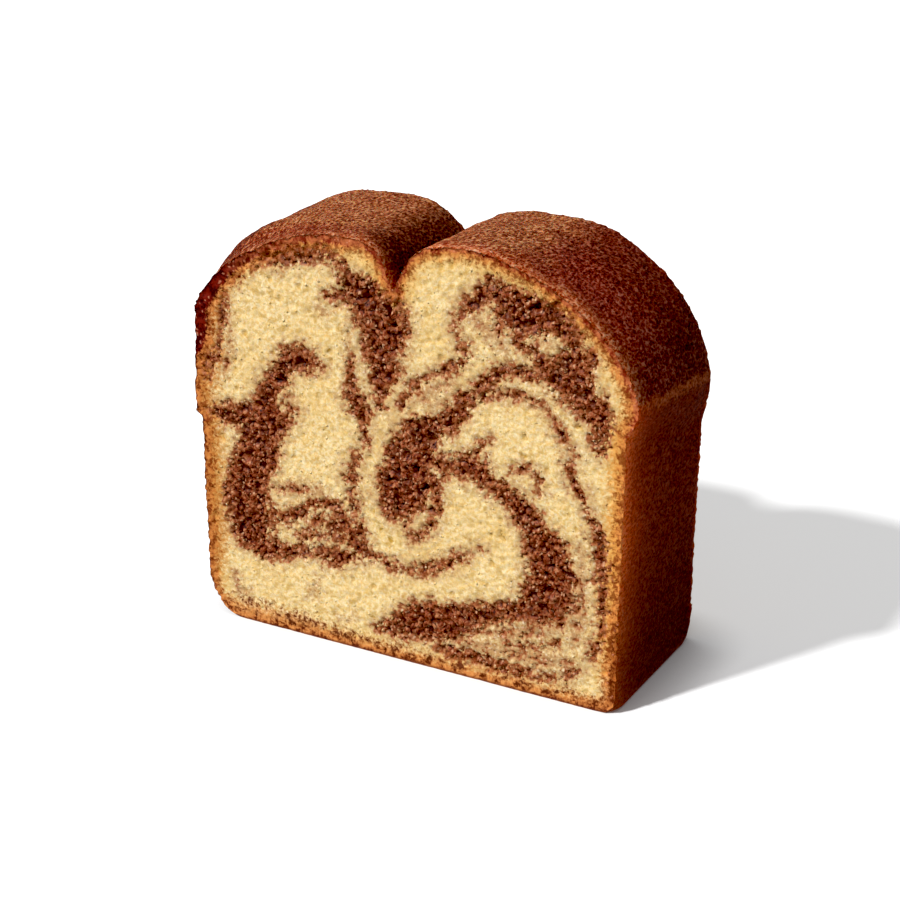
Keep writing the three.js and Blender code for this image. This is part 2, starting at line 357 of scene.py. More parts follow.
# Where the two batters only brushed, the crumb is stained but not cocoa.
stains = {
    "leftEdge": [(-37.5, 79, 2), (-39.5, 77.6, 2), (-42, 74.5, 1.4), (-43.6, 67.5, 1.6),
        (-43.8, 63.5, 1.4), (-46, 58.5, 2.4), (-48.5, 57.5, 2.6)],
    "threadTop": [(-12.4, 70, 2), (-12.4, 64, 2.4), (-12, 60, 3.6)],
    "underMiddle": [(-19, 74, 2), (-18, 73.3, 2)],
    "hookShade": [(-28.5, 55.5, 3), (-27, 53.5, 4.4), (-26.5, 51, 3)],
    "curlTop": [(-30, 32.6, 2.4), (-26, 33.6, 3.6), (-20.5, 33.6, 3)],
    "middleSide": [(-1, 77.5, 2.4), (0.4, 72.5, 3.6), (-0.6, 66.5, 3.6), (-1.6, 61.5, 3)],
    "leftFlecks": [(-41, 73, 1.6), (-41, 66, 2.2), (-41.6, 60, 2.8), (-43, 56, 3)],
    "heartFoot": [(-3, 31, 1), (0, 30.3, 1), (2.5, 29.5, 1)],
    "riserFlank": [(7, 57.5, 2.5), (9, 59, 3), (11, 60, 2)],
    "riserFoot": [(0, 56, 2), (2, 57.5, 1.5), (5, 58.5, 2.4), (8, 57.5, 2)],
    "capShade": [(14.5, 77.5, 3), (18, 76, 3.6), (21.5, 73.5, 3.6), (23, 71.5, 2.6)],
    "capWindow": [(28.5, 74.2, 2.4), (33.5, 75, 2.4)],
    "riserGap": [(3, 59.5, 3), (6.5, 61.2, 3.6), (10.5, 63.2, 3)],
    "arcTop": [(21, 64, 2.6), (26, 63.6, 3), (31, 62, 3), (34.4, 58.5, 3), (36.5, 53, 2.6)],
    "sweepShade": [(39, 35, 2.4), (39.8, 29, 3.4), (39.6, 23, 4), (39, 18, 4), (38, 13, 3)],
    "footGround": [(9, 7.6, 3), (18, 7.8, 4), (28, 8, 4.4), (38, 9, 3.4)],
    "footShade": [(17, 10.8, 3), (25, 12.5, 4.6), (31, 14.5, 4.6), (34, 16, 4), (36.5, 18.5, 4)],
    "footRise": [(39.5, 22, 1.8), (39.8, 18, 1.8), (39, 15.5, 1.8)],
    "cornerSmudge": [(-42.3, 10.5, 1.5), (-42, 8.5, 2.4), (-41, 6.5, 3), (-39, 6.5, 1.5)],
    "lowSmudge": [(-20.8, 13.8, 0.8), (-21.5, 12, 1.2), (-22.5, 10, 1.4), (-23.5, 9.3, 0.8)],
    "footSmudge": [(-16, 5.5, 0.8), (-12.5, 6.3, 0.8)],
}

# Torn holes in the crumb: place, radius.
pits = [(-24, 61.3, 1.4), (-28.7, 57.3, 1.2), (-31.3, 82.7, 1.0), (-8, 77.7, 1.3), (-2, 72.7, 1.0),
        (-38, 38.2, 1.4), (6.5, 50.5, 1.2), (0.5, 46.3, 1.0), (2.7, 43.3, 1.1),
        (5, 40, 1.2), (-3, 39.7, 1.2), (28, 78, 1.5), (29, 81.5, 1.1), (17.7, 61.8, 1.0), (33, 23.5, 1.2),
        (-34.5, 50.4, 1.1), (-12.5, 79.5, 0.9), (10.5, 54.5, 1.0), (32.5, 67.5, 1.1)]

marbling = {
    "curveStep": 1.0,  # mm between the points that a ribbon is drawn through
    "fleckDepth": -1.4,  # mm under the border that a stain's edge lies
    "backShift": (5.5, 3.5),  # mm that the ribbons wander on their way to the back cut
    "backWave": (19, 23),  # mm from swing to swing of that wander
}


def drawn(path):
    path = np.array(path, float)
    run = np.concatenate([[0], np.cumsum(np.hypot(*np.diff(path[:, :2], axis=0).T))])
    if len(path) < 3:
        return path
    count = max(2, round(run[-1] / marbling["curveStep"]))
    return smoothThrough(run, path, np.linspace(0, run[-1], count + 1))


def batterAt(points, front):
    # how deep inside a cocoa ribbon, a stain and a pit each point lies, in mm
    if not front:
        # a slow wander, and a small quick one over it
        shiftX, shiftZ = marbling["backShift"]
        waveX, waveZ = marbling["backWave"]
        x, z = points.T
        points = np.stack([x + shiftX * np.sin(z / waveX + 0.7) + 2 * np.sin(x / 9 + 1.3),
                           z + shiftZ * np.sin(x / waveZ - 0.5) + 1.5 * np.sin(z / 8)], axis=1)
    cocoa, stain = (-np.min([distanceToPath(points, drawn(path)) for path in paths.values()], axis=0)
                    for paths in (ribbons, stains))
    # flecks of cocoa crumb lie in the stains
    cocoa = np.maximum(cocoa, marbling["fleckDepth"] + 0.8 * np.minimum(stain, 1.5))
    pit = np.max([1 - np.hypot(points[:, 0] - x, points[:, 1] - z) / r for x, z, r in pits], axis=0)
    return cocoa, stain, np.maximum(pit, 0)


# Where the risen top ends and the tin's wall begins, and how far the cut's browning reaches in.

crustEdge = {
    "left": (44.5, 47.0),  # mm up, at the front cut and at the back cut
    "right": (66.5, 61.5),
    "outside": -9.0,  # mm, for a point of the skin, which has no batter pattern
}


def domeHeight(x, y, z, length):
    t = y / length + 0.5
    left, right = (front + t * (back - front)
                   for front, back in (crustEdge["left"], crustEdge["right"]))
    return z - (left + (right - left) * smoothStep(x, -10, 10))


def browningReach(x, z):
    # mm of golden crumb inside the crust: wide at the walls, narrow under the domes and at the base
    top = smoothStep(z, 60, 84)
    wall = 3.6 - 0.5 * smoothStep(z, 20, 60) - 1.8 * smoothStep(z, 14, 2)
    dome = 2.4 - 1.0 * smoothStep(x, -30, 0)
    shoulder = 3.4 * np.exp(-((x + 46) / 7) ** 2 - ((z - 65) / 10) ** 2)
    left = 1.6 * smoothStep(x, -38, -46) * smoothStep(z, 8, 20)
    return wall + left + (dome - wall) * top + shoulder


def crustDepth(x, z):
    # mm of dark baked crust that a cut shows: thin on the walls, thick at the shoulders of the domes
    risen = smoothStep(z, 56, 64)
    shoulder = np.exp(-((x + 43) / 7) ** 2)
    lobe = smoothStep(x, -4, -14)
    right = np.exp(-((x - 46) / 6) ** 2)
    foot = 0.9 * smoothStep(z, 1.6, 0.2)
    left = 0.7 * smoothStep(x, -40, -46)
    return -0.5 + foot + left + risen * (1.2 + 0.9 * lobe + 0.9 * shoulder + 0.4 * right)


def bakeSlice():
    random = np.random.default_rng(loafSlice["seed"])
    ys, ringY, rings = fineRings(random)
    rows, around = rings.shape[:2]
    length = ys[-1] - ys[0]
    skin = np.stack([rings[..., 0], ringY, rings[..., 1]], axis=-1).reshape(-1, 3)
    i = np.arange(rows * around).reshape(rows, around)
    j = np.roll(i, -1, axis=1)
    quads = np.stack([i[:-1], j[:-1], j[1:], i[1:]], axis=-1).reshape(-1, 4)
    quads = quads[:, ::-1]
    points, faces, onCut = [skin], [quads], [np.zeros(len(quads))]
    values = {name: [np.full(len(skin), crustEdge["outside"])] for name in ("cocoa", "stain")}
    values.update({name: [np.zeros(len(skin))] for name in ("pit", "cut", "give", "rim")})
    # the outlines of the cuts hardly move with the crust's relief
    values["skin"] = [np.repeat(np.r_[0.25, np.ones(rows - 2), 0.25], around)]
    total = len(skin)
    for row, step, sign in ((0, loafSlice["frontStep"], 1), (rows - 1, loafSlice["backStep"], -1)):
        outline = rings[row]
        inner, rim, triangles = fillCut(outline, step, random)
        y = ys[row] + sign * 0.4 * loafSlice["crumble"] * np.maximum(1 - rim / 0.8, 0)
        points.append(np.stack([inner[:, 0], y, inner[:, 1]], axis=1))
        own = np.concatenate([i[row], total + np.arange(len(inner))])
        total += len(inner)
        triangles = own[triangles]
        faces.append(triangles if sign > 0 else triangles[:, ::-1])
        onCut.append(np.ones(len(triangles)))
        everywhere = np.concatenate([outline, inner])
        batter = dict(zip(("cocoa", "stain", "pit"), batterAt(everywhere, sign > 0)))
        batter.update(cut=np.full(len(everywhere), float(sign)),
                      rim=np.concatenate([np.zeros(around), rim]),
                      give=np.concatenate([np.full(around, 0.3), 0.3 + 0.7 * smoothStep(rim, 0, 1.2)]))
        for name, value in batter.items():
            values[name][0][i[row]] = value[:around]
            values[name].append(value[around:])
        values["skin"].append(np.zeros(len(inner)))
    points = np.concatenate(points)
    mesh = bpy.data.meshes.new("cakeSlice")
    mesh.from_pydata((points * mm).tolist(), [], [face.tolist() for part in faces for face in part])
    mesh.polygons.foreach_set("use_smooth", np.ones(len(mesh.polygons), bool))
    values = {name: np.concatenate(parts) for name, parts in values.items()}
    values["dome"] = domeHeight(*points.T, length)
    # the painted glow, and the other colours beside the cuts, reach far less in from the back cut, which
    # lies in shade
    values["edge"] = np.minimum(points[:, 1] + length / 2, 12 * (length / 2 - points[:, 1]))
    values["gold"] = values["rim"] / browningReach(points[:, 0], points[:, 2])
    values["baked"] = values["rim"] - crustDepth(points[:, 0], points[:, 2])
    for name, value in values.items():
        mesh.attributes.new(name, "FLOAT", "POINT").data.foreach_set("value", value.astype(np.float32))
    mesh.attributes.new("onCut", "FLOAT", "FACE").data.foreach_set("value", np.concatenate(onCut))
    return addObject("cakeSlice", mesh)


# Crumb and crust patterns: the relief and the colours are made from the same ones.

crumbLook = {
    "lumpSize": 0.95,  # mm, one lump of crumb
    "bendSize": 1.6,  # mm, how coarsely the lumps are pulled out of round
    "bend": 1.1,  # mm, how far
    "poreSpacing": 2.3,  # mm from pore to pore
    "poreReach": 0.42,  # share of that spacing that the widest pore fills
    "raggedSize": 2.6,  # mm, how coarsely the batters' border is torn
    "fineSize": 0.8,  # mm, how finely
    "ragged": 4.0,  # mm, the full swing of the border by the coarse tearing
    "fine": 4.6,  # mm, the same for the fine tearing
    "border": 0.65,  # mm, half the width of the border itself
    "poreEdge": 0.16,  # share of the pore spacing over which a pore's edge falls
    "cutsApart": 0.05,  # m between the two cuts' patterns
    "knifeSize": 9,  # mm, the slow waves that the knife left
    "fibreSize": 0.7,  # mm, the strands of the crumb
    "patchSize": 1.7,  # mm, lighter and darker patches of them
    "broadSize": 11,  # mm, slow changes of colour over a cut
    "glintSpacing": 0.9,  # mm from one painted glint to the next
    "grainSize": 0.45,  # mm, the finest grain
}


def crumbPattern(add, place, cut, cocoa):
    # gives a flat vector of the cut, the same pulled out of true, the ragged depth into the cocoa in mm,
    # the cocoa's share, the distance from a lump's middle, and the pores
    look = crumbLook
    apart = add("Math MULTIPLY", cut, look["cutsApart"])
    flat = add("CombineXYZ", place.outputs["X"], apart, place.outputs["Z"])
    bend = add("TexNoise", flat, size=look["bendSize"], Detail=1.0)
    bent = add("VectorMath MULTIPLY_ADD", bend.outputs["Color"], (look["bend"] * mm,) * 3, flat)
    inside = cocoa
    for swing in ("ragged", "fine"):
        torn = add("TexNoise", flat, size=look[swing + "Size"], Detail=1.0)
        inside = add("Math MULTIPLY_ADD", torn, look[swing], inside)
    inside = add("Math SUBTRACT", inside, (look["ragged"] + look["fine"]) / 2)
    share = add("MapRange", inside, -look["border"], look["border"], **eased)
    lump = add("TexVoronoi", bent, size=look["lumpSize"])
    hole = add("TexVoronoi", bent, size=look["poreSpacing"])
    chance = add("SeparateXYZ", hole.outputs["Color"])
    # pores differ in width, and the narrowest are none
    reach = add("Math MULTIPLY_ADD", chance.outputs["X"], look["poreReach"] * 1.4, -look["poreReach"] * 0.4)
    deep = add("Math SUBTRACT", reach, hole.outputs["Distance"])
    pore = add("MapRange", deep, 0.0, look["poreEdge"], **eased)
    return flat, bent, inside, share, lump, pore


relief = {  # mm
    "Pale lump": 0.2,  # depth of the gaps between the lumps of the butter crumb
    "Cocoa lump": 0.75,  # the same in the cocoa crumb, which tears more roughly
    "Pore": 0.3,  # depth of the pores
    "Pit": 2.2,  # depth of the torn holes
    "Drag": 0.35,  # slow waves that the knife left
    "Crust grain": 0.14,  # fine grain of the baked skin
    "Wrinkle": 0.14,  # its wrinkles
    "Dimple": 0.12,  # its dimples
    "Ledge": 0.35,  # how far the risen crust overhangs the wall under it
}

crustLook = {  # mm
    "grainSize": 1.3,
    "wrinkleSize": 4.5,
    "dimpleSpacing": 3.4,
    "unevenSize": 5,  # how coarsely the borders of its zones wander
    "uneven": 3.0,  # how far those between top and wall do
    "broadSize": 14,  # how coarsely the thin crust beside the cuts widens and narrows
    "speckSize": 0.42,
    "curlSize": 0.6,  # the curled pits
    "curlBendSize": 0.9,  # how coarsely they are pulled out of round
    "curlBend": 1.4,  # how far
    "pull": (1.0, 0.62, 1.0),  # and how much they are drawn out along the loaf, as a share
}


def crustPattern(add, vector):
    # the grain and dimples of the baked skin, each from 0 to 1
    grain = add("TexVoronoi", vector, size=crustLook["grainSize"], Smoothness=0.3, feature="SMOOTH_F1")
    grain = add("MapRange", grain, 0.1, 0.75, 1.0, 0.0)
    hollow = add("TexVoronoi", vector, size=crustLook["dimpleSpacing"])
    return grain, add("MapRange", hollow, 0.1, 0.34, 1.0, 0.0, **eased)


def reliefTree(crumb, crust):
    tree, add, given, read = newTree("crumbAndCrustRelief", relief,
                                     ("cocoa", "pit", "cut", "give", "skin", "dome", "onCut"))
    cocoa, pit, cut, give, skin, dome, onCut = read
    spot = add("GeometryNodeInputPosition")
    place = add("SeparateXYZ", spot)
    flat, _, _, share, lump, pore = crumbPattern(add, place, cut, cocoa)

    # the cuts sink inwards along the loaf
    lumpDepth = add("Mix", Factor=share, A=given["Pale lump"], B=given["Cocoa lump"])
    gap = add("MapRange", lump, 0.2, 0.8, **eased)
    depth = add("Math MULTIPLY", gap, lumpDepth)
    depth = add("Math MULTIPLY_ADD", pore, given["Pore"], depth)
    depth = add("Math MULTIPLY_ADD", pit, given["Pit"], depth)
    drag = add("TexNoise", flat, size=crumbLook["knifeSize"], Detail=2.0)
    depth = add("Math MULTIPLY_ADD", drag, given["Drag"], depth)
    depth = add("Math MULTIPLY", depth, cut)
    depth = add("Math MULTIPLY", depth, give)
    sunk = add("CombineXYZ", Y=depth)

    # the skin moves square to itself, but never along the loaf, and the base stays flat
    grain, dimple = crustPattern(add, spot)
    wrinkle = add("TexNoise", spot, size=crustLook["wrinkleSize"], Detail=4.0, Roughness=0.62,
                  Distortion=1.2, noise_type="FBM")
    lift = add("Math MULTIPLY", grain, given["Crust grain"])
    fold = add("Math SUBTRACT", wrinkle, 0.5)
    lift = add("Math MULTIPLY_ADD", fold, given["Wrinkle"], lift)
    dip = add("Math MULTIPLY", dimple, given["Dimple"])
    lift = add("Math SUBTRACT", lift, dip)
    # under the ledge the wall steps back, and comes out again 6 mm lower
    uneven = add("TexNoise", spot, size=crustLook["unevenSize"], Detail=2.0)
    height = add("Math MULTIPLY_ADD", uneven, crustLook["uneven"], dome)
    under = add("MapRange", height, 0.6, 2.0, 1.0, 0.0, **eased)
    fade = add("MapRange", height, -6.0, 0.5, **eased)
    step = add("Math MULTIPLY", under, fade)
    step = add("Math MULTIPLY", step, given["Ledge"])
    lift = add("Math SUBTRACT", lift, step)
    standing = add("MapRange", place.outputs["Z"], 0.0, 2 * mm)
    lift = add("Math MULTIPLY", lift, standing)
    lift = add("Math MULTIPLY", lift, skin)
    across = add("VectorMath MULTIPLY", add("GeometryNodeInputNormal"), (1.0, 0.0, 1.0))
    across = add("VectorMath NORMALIZE", across)
    raised = add("VectorMath SCALE", across, Scale=lift)
    offset = add("VectorMath ADD", sunk, raised)
    moved = add("GeometryNodeSetPosition", Geometry=given["Geometry"], Offset=offset)
    # nothing stands out of the frame's box
    held = add("VectorMath MAXIMUM", add("GeometryNodeInputPosition"), cadBox[0])
    held = add("VectorMath MINIMUM", held, cadBox[1])
    moved = add("GeometryNodeSetPosition", Geometry=moved, Position=held)
    skinned = add("GeometryNodeSetMaterial", Geometry=moved, Material=crust)
    dressed = add("GeometryNodeSetMaterial", Geometry=skinned, Selection=onCut, Material=crumb)
    add("NodeGroupOutput", dressed)
    return tree


def applyTree(thing, tree, sizes):
    # runs a tree with its sizes on an object, and keeps the result as the object's plain mesh
    modifier = thing.modifiers.new(tree.name, "NODES")
    modifier.node_group = tree
    for item in tree.interface.items_tree:
        if item.in_out == "INPUT" and item.name in sizes:
            modifier[item.identifier] = sizes[item.name]
    bpy.context.view_layer.update()
    made = thing.evaluated_get(bpy.context.evaluated_depsgraph_get())
    mesh = bpy.data.meshes.new_from_object(made)
    thing.modifiers.clear()
    old, thing.data = thing.data, mesh
    bpy.data.meshes.remove(old)
    mesh.name = thing.name


# Loose grains of crumb that stand out of both cuts.

grains = {
    "Grain size": 0.78 * mm,
    "Front density": 0.12 / mm ** 2,  # grains for each square mm of butter crumb
    "Back density": 0.07 / mm ** 2,
    "Cocoa crowding": 9.0,  # how much denser they are on the cocoa crumb
    "Sink": 0.16 * mm,
    "Drag": 1.5,  # mm, the furthest that a grain was dragged
    "Seed": 5,
}
grainShape = {
    "bendSize": 0.5,  # mm, how coarsely a grain is pushed out of round
    "least": 0.45,  # share of the grain size along each axis
    "most": 1.15,
    "fromRim": 1.2,  # mm from the crust within which there are none
    "pitDepth": 0.15,  # share of a torn hole's depth below which there are none
}


def grainTree(crumb):
    tree, add, given, read = newTree("crumbGrains", grains, ("cocoa", "cut", "rim", "pit"))
    cocoa, cut, rim, pit = read
    front = add("MapRange", cut, -1.0, 1.0, given["Back density"], given["Front density"])
    crowd = add("MapRange", cocoa, -0.6, 0.6, 1.0, given["Cocoa crowding"])
    density = add("Math MULTIPLY", front, crowd)
    free = add("FunctionNodeCompare GREATER_THAN", A=rim, B=grainShape["fromRim"])
    shallow = add("FunctionNodeCompare LESS_THAN", A=pit, B=grainShape["pitDepth"])
    clear = add("FunctionNodeBooleanMath AND", free, shallow)
    spread = add("GeometryNodeDistributePointsOnFaces", Mesh=given["Geometry"], Selection=clear,
                 Density=density, Seed=given["Seed"])
    down = add("Math MULTIPLY", cut, given["Sink"])
    sunk = add("CombineXYZ", Y=down)
    points = add("GeometryNodeSetPosition", Geometry=spread.outputs["Points"], Offset=sunk)
    # some grains were dragged over the border between the batters
    drag = add("FunctionNodeRandomValue", i2=-1.0, i3=1.0,
               Seed=add("Math ADD", given["Seed"], 2.0), data_type="FLOAT")
    dragged = add("Math MULTIPLY_ADD", drag, given["Drag"], cocoa)
    points = add("GeometryNodeStoreNamedAttribute", Geometry=points, Name="cocoa", Value=dragged,
                 data_type="FLOAT", domain="POINT")

    # one grain: a small ball with a few faces, pushed out of shape
    radius = add("Math MULTIPLY", given["Grain size"], 0.5)
    ball = add("GeometryNodeMeshIcoSphere", Radius=radius, Subdivisions=1)
    where = add("GeometryNodeInputPosition")
    rough = add("TexNoise", where, size=grainShape["bendSize"], Detail=0.0)
    away = add("VectorMath SUBTRACT", rough.outputs["Color"], (0.5, 0.5, 0.5))
    away = add("VectorMath SCALE", away, Scale=given["Grain size"])
    ball = add("GeometryNodeSetPosition", Geometry=ball.outputs["Mesh"], Offset=away)

    turn = add("FunctionNodeRandomValue", i0=(0.0, 0.0, 0.0), i1=(2 * math.pi,) * 3, Seed=given["Seed"],
               data_type="FLOAT_VECTOR")
    size = add("FunctionNodeRandomValue", i0=(grainShape["least"],) * 3, i1=(grainShape["most"],) * 3,
               Seed=add("Math ADD", given["Seed"], 1.0), data_type="FLOAT_VECTOR")
    placed = add("GeometryNodeInstanceOnPoints", Points=points, Instance=ball, Rotation=turn, Scale=size)
    solid = add("GeometryNodeRealizeInstances", Geometry=placed)
    smooth = add("GeometryNodeSetShadeSmooth", Geometry=solid, Shade_Smooth=True)
    dressed = add("GeometryNodeSetMaterial", Geometry=smooth, Material=crumb)
    add("NodeGroupOutput", dressed)
    return tree


# Finishes.

crumbColours = {
    "butter": "#EDCF92",  # light creamy yellow of the butter batter
    "butterDeep": "#E0B76C",
    "butterBright": "#F8E2B4",
    "pore": "#B88E3C",  # painted shade inside its pores, olive
    "cocoa": "#863C1F",
    # painted shade between the lumps of the cocoa crumb
    "cocoaGap": "#380802",
    # painted highlights on top of the cocoa lumps
    "cocoaBright": "#BA7A54",
    "cocoaThin": "#A86439",  # where the cocoa batter runs out
    "glint": "#DCA882",  # painted glints on single crumbs
    # painted glints in the butter crumb beside the cocoa
    "paleGlint": "#FFF0D4",
    "halo": "#BE9668",  # butter crumb that the cocoa tinged
    "stain": "#B0784A",
    "warm": "#E6B45E",  # the first hint of browning
    "gold": "#DB9446",  # browned crumb next to the crust
    "goldLeft": "#B66E30",  # the same at the left wall, which baked harder
    "goldPit": "#7C3410",  # dark and bright grains of the deepest gold
    "goldTop": "#D88646",
    "crustPit": "#862A12",  # the baked crust as the cuts show it
    "crustTop": "#CC7446",
    # painted glints on the crust's line
    "crustGlint": "#CC8464",
    "domePit": "#3A0404",  # the same round the left dome
    "domeTop": "#74180C",
    "wallPit": "#5C2008",  # the same on the tin's walls
    "wallTop": "#B4642C",
    "scorchPit": "#843A16",  # browned lumps along the base, and dark specks between them
    "scorchTop": "#D88C4C",
    "speck": "#501C08",
}

browning = {  # mm, where each begins and where it is full, or full and gone
    "warmRise": (4, 16),  # up, the first hint of browning
    "leftBake": (-38, -46),  # across, the left wall, which baked harder
    "footAcross": (36, 44),  # the foot of the right wall
    "footUp": (30, 8),
    "footReach": -2.1,  # how much further in the crust's line reaches there
    "shoulder": (-30, -42),  # across, the dark line round the left dome
    "wall": (50, 40),  # up, where the line turns into the wall's
    "fewer": (-24, -14),  # across, where the base begins to be browned less
    "fewerBy": 1.4,
    "sole": (0.6, 0.2),  # up, the dark skin that the slice stands on
}


def cakeCrumb():
    # soft baked crumb, torn by the knife: dull, grainy and full of small pores, with painted shade in its
    # pores and between its lumps, and a few painted glints
    material, add = newMaterial("bakedMarbleCrumb")
    shade = {name: linearColour(hexText) for name, hexText in crumbColours.items()}
    depthIn, stain, cut, rim, gold, depthUnder = (
        add("Attribute", attribute_name=name).outputs["Fac"]
        for name in ("cocoa", "stain", "cut", "rim", "gold", "baked"))
    spot = add("TexCoord").outputs["Object"]
    place = add("SeparateXYZ", spot)
    x, z = place.outputs["X"], place.outputs["Z"]
    flat, bent, inside, share, lump, pore = crumbPattern(add, place, cut, depthIn)
    fibre = add("TexNoise", bent, size=crumbLook["fibreSize"], Detail=3.0, Roughness=0.65)
    patch = add("TexNoise", bent, size=crumbLook["patchSize"], Detail=2.0)
    broad = add("TexNoise", flat, size=crumbLook["broadSize"], Detail=3.0)
    mottle = add("Math ADD", fibre, patch)
    pitted = add("MapRange", mottle, 0.86, 1.14)

    def grained(name):
        # dark in the pits of the crumb, and lighter on top of its grains
        return coated(add, shade, name + "Pit", (pitted, name + "Top"))

    # the butter crumb: bright strands, deeper ones between them, and painted shade in its pores, olive
    strand = add("MapRange", fibre, 0.34, 0.5)
    bright = add("MapRange", fibre, 0.5, 0.66)
    deeper = add("MapRange", broad, 0.5, 0.7, 0, 0.35)
    olive = add("MapRange", patch, 0.54, 0.7, 0, 0.55)
    hollow = add("Math MULTIPLY_ADD", pore, 0.6, olive, use_clamp=True)
    # stains, and a stained border round the cocoa, with painted pale glints and dark gaps in it
    smear = add("Math MULTIPLY_ADD", fibre, -9.0, stain)
    smear = add("MapRange", smear, -5.0, -2.6, 0, 0.7, **eased)
    border = add("MapRange", inside, -3.0, 0.2, 0, 0.75, **eased)
    # painted glints: a few spots of crumb made bright
    dot = add("TexVoronoi", bent, size=crumbLook["glintSpacing"])
    chance = add("SeparateXYZ", dot.outputs["Color"])
    lucky = add("MapRange", chance.outputs["X"], 0.5, 0.6)
    middle = add("MapRange", dot.outputs["Distance"], 0.34, 0.18, 0, 0.75)
    glint = add("Math MULTIPLY", lucky, middle)
    tinged = add("MapRange", inside, -3.0, -0.8, 0, 0.55)
    pale = add("Math MULTIPLY", glint, tinged)
    shut = add("MapRange", fibre, 0.43, 0.33, 0, 0.8)
    shut = add("Math MULTIPLY", shut, tinged)
    # browning next to the crust
    warm = add("Math MULTIPLY_ADD", broad, 5.0, rim)
    warmest = add("MapRange", z, *span(browning["warmRise"]), 0.5, 0.9)
    warm = add("MapRange", warm, 3.0, 8.5, warmest, 0.0, **eased)
    near = add("Math MULTIPLY_ADD", fibre, 2.4, gold)
    browned = add("MapRange", near, 1.4, 2.7, 1.0, 0.0, **eased)
    hard = add("MapRange", x, *span(browning["leftBake"]), 0, 0.8)
    near = add("Math MULTIPLY_ADD", mottle, 3.0, gold)
    fleck = add("MapRange", near, 3.0, 3.4, 0.6, 0.0)
    butter = coated(add, shade, "butterDeep", (strand, "butter"), (bright, "butterBright"),
                    (deeper, "butterDeep"), (hollow, "pore"), (smear, "stain"), (border, "halo"),
                    (pale, "paleGlint"), (shut, "cocoaThin"), (warm, "warm"),
                    (browned, coated(add, shade, "gold", (hard, "goldLeft"))), (fleck, "goldPit"))

    # the cocoa crumb: thin and tan at its border, painted shade between its lumps, painted highlights on
    # top of them
    thin = add("MapRange", inside, 0.2, 2.4, 0.8, 0.0, **eased)
    bright = add("MapRange", fibre, 0.5, 0.64)
    between = add("MapRange", fibre, 0.47, 0.36)
    gap = add("MapRange", lump, 0.45, 0.8, **eased)
    gap = add("Math MAXIMUM", gap, between)
    full = add("MapRange", inside, 0.0, 1.8, 0.15, **eased)
    gap = add("Math MULTIPLY", gap, full)
    sunk = add("MapRange", patch, 0.5, 0.36, 0, 0.6)
    sunk = add("Math MULTIPLY", sunk, full)
    gap = add("Math MAXIMUM", gap, sunk)
    cocoa = coated(add, shade, "cocoa", (thin, "cocoaThin"), (bright, "cocoaBright"), (gap, "cocoaGap"),
                   (glint, "glint"))

    # the deep gold and the baked crust cover both, and reach in further at the foot of the right wall
    foot = add("MapRange", x, *span(browning["footAcross"]))
    foot = add("MapRange", foot, 0, 1, 0, browning["footReach"])
    foot = add("MapRange", z, *span(browning["footUp"]), 0, foot)
    depth = add("Math ADD", depthUnder, foot)
    deep = add("Math MULTIPLY_ADD", fibre, 6.0, depth)
    golden = add("MapRange", deep, 3.4, 5.7, 0.85, 0.0, **eased)
    deep = add("Math MULTIPLY_ADD", fibre, 3.0, depth)
    line = add("MapRange", deep, 1.1, 1.9, 1.0, 0.0, **eased)
    shoulder = add("MapRange", x, *span(browning["shoulder"]), 0.2)
    walled = add("MapRange", z, *span(browning["wall"]))
    baked = coated(add, shade, grained("crust"), (shoulder, grained("dome")), (walled, grained("wall")))
    # painted glints on the crust's line
    shiny = add("Math MULTIPLY", line, glint)
    # browned lumps along the base, with dark specks between them, fewer to the right
    base = add("Math MULTIPLY_ADD", fibre, 8.0 * mm, z)
    base = add("Math MULTIPLY_ADD", patch, 6.0 * mm, base)
    fewer = add("MapRange", x, *span(browning["fewer"]), 0, browning["fewerBy"] * mm)
    base = add("Math ADD", base, fewer)
    scorched = add("MapRange", base, 12.4 * mm, 10.2 * mm, 0, 0.85)
    core = add("MapRange", base, 10.6 * mm, 9.6 * mm, 0, 0.8)
    speck = add("MapRange", mottle, 0.93, 0.83)
    speck = add("Math MULTIPLY", core, speck)
    sole = add("MapRange", z, *span(browning["sole"]), 0, 0.8)
    crumb = coated(add, shade, butter, (share, cocoa), (golden, grained("gold")), (line, baked),
                   (shiny, "crustGlint"), (scorched, grained("scorch")), (speck, "speck"), (sole, "speck"))

    sheen = add("MapRange", share, 0, 1, 0.75, 0.5)
    fine = add("TexNoise", spot, size=crumbLook["grainSize"], Detail=2.0, Roughness=0.7)
    bump = add("Bump", Strength=0.5, Distance=0.25 * mm, Height=fine)
    surface = add("BsdfPrincipled", Base_Color=crumb, Roughness=sheen, Normal=bump, Subsurface_Weight=0.15,
                  Subsurface_Radius=(1.0, 0.6, 0.3), Subsurface_Scale=1.2 * mm, Specular_IOR_Level=0.2)
    add("OutputMaterial", Surface=surface)
    return material


# Each zone of the crust has three colours: in its pits and dimples (its own darker tone and painted shade),
# between them, and on its dry ridges (lighter ridges and painted glints).

